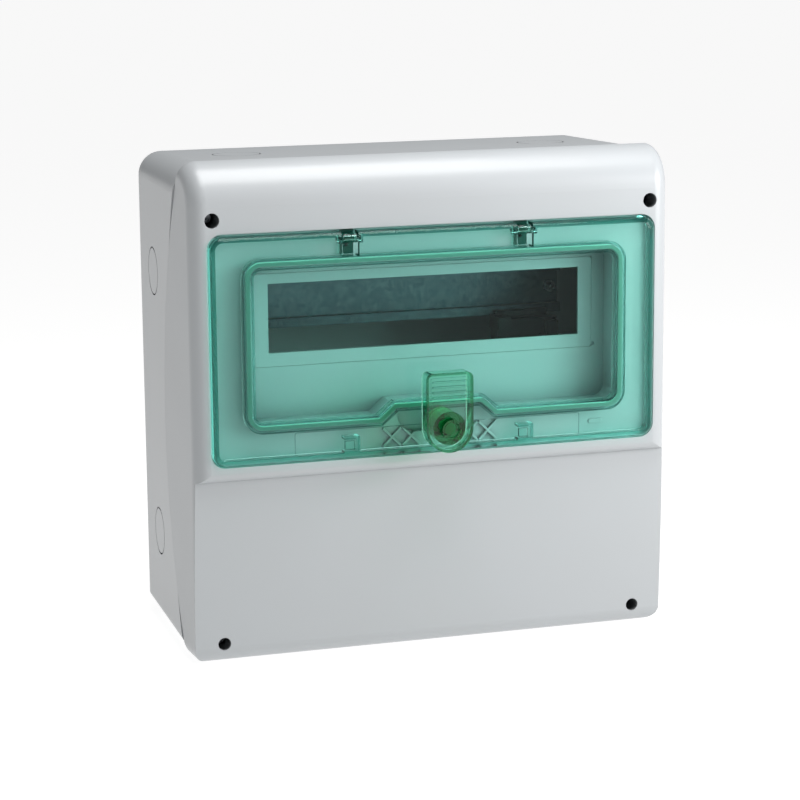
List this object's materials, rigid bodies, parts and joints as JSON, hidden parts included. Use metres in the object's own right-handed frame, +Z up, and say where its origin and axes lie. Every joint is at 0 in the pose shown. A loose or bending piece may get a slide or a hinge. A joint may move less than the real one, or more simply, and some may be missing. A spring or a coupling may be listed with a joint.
{
  "type": "modular distribution enclosure",
  "caption": "Wall-mounted plastic enclosure with a bowed two-part housing, a tinted top-hinged window door with a turn latch, and a mounting rail behind a framed slot.",
  "frame": {"origin": "on the flat back face of the rear base, where it meets the wall, midway between the four wall fixing holes", "axes": "+X to the viewer's right, +Y into the wall, +Z up; the door faces -Y"},
  "size_m": [0.3368, 0.186, 0.3323],
  "materials": {
    "housing": "satin",
    "clear_part": "gloss",
    "latch_plastic": "gloss",
    "seal": "matt",
    "door_seal": "satin",
    "steel": "bright zinc",
    "galvanised": "galvanised",
    "brass": "satin",
    "black_plastic": "matt"
  },
  "bodies": {
    "enclosure": {"rear_base": "housing", "front_cover": "housing", "cover_gasket": "seal", "front_plate": "housing", "hinge_clip_left": "clear_part", "hinge_clip_right": "clear_part", "din_rail": "galvanised", "rail_screws": "steel", "cover_screws": "steel", "screw_seals": "seal", "terminal_holder": "black_plastic", "terminal_bar": "brass", "terminal_screws": "steel"},
    "door_leaf": {"door": "clear_part", "door_gasket": "door_seal", "hinge_pin_left": "clear_part", "hinge_pin_right": "clear_part"},
    "latch": {"latch_handle": "latch_plastic", "latch_spindle": "latch_plastic", "latch_washer": "clear_part", "latch_cam": "latch_plastic"}
  },
  "joints": [
    {"name": "door_swing", "type": "hinge", "parent": "enclosure", "child": "door_leaf", "pos_m": [0, -0.157, 0.1145], "axis": [-1, 0, 0], "range_deg": [0, 110]},
    {"name": "latch_turn", "type": "hinge", "parent": "door_leaf", "child": "latch", "pos_m": [0, -0.161, -0.011], "axis": [0, 1, 0], "range_deg": [0, 90]}
  ]
}
